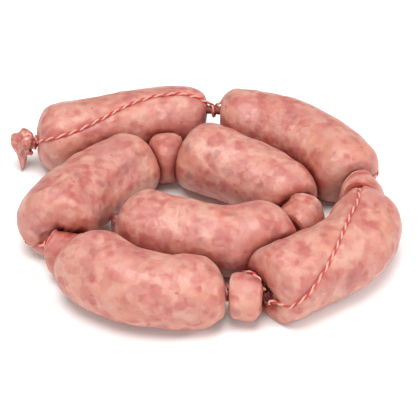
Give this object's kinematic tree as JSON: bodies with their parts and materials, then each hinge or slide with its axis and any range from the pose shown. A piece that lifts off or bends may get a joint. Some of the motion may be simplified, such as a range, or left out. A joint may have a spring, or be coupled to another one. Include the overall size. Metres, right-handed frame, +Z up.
{
  "type": "string of sausage links",
  "caption": "Coiled string of plump raw sausage links in natural casing, full and short links in a chain, tied with red and white twine, with a knotted casing end.",
  "frame": {"origin": "middle of the bounding box at its bottom, on the surface that the links lie on", "axes": "+Z up, +X across the coil to the right along its longest extent, -Y towards the front"},
  "size_m": [0.218, 0.1902, 0.0414],
  "materials": {
    "sausage": "moist natural casing over coarse raw pork, pale fat and pink meat flecks",
    "casing": "moist gathered natural casing",
    "twine": "red and white two-strand cotton twine"
  },
  "bodies": {
    "root": {"link_back_left": "sausage", "link_back_right": "sausage", "link_short_right": "sausage", "link_front_right": "sausage", "link_short_front": "sausage", "link_front_left": "sausage", "link_short_left": "sausage", "link_left": "sausage", "link_short_back": "sausage", "link_inner_back": "sausage", "link_short_inner": "sausage", "link_inner_front": "sausage", "casing_knot": "casing", "casing_stub": "casing", "twine": "twine"}
  },
  "joints": []
}
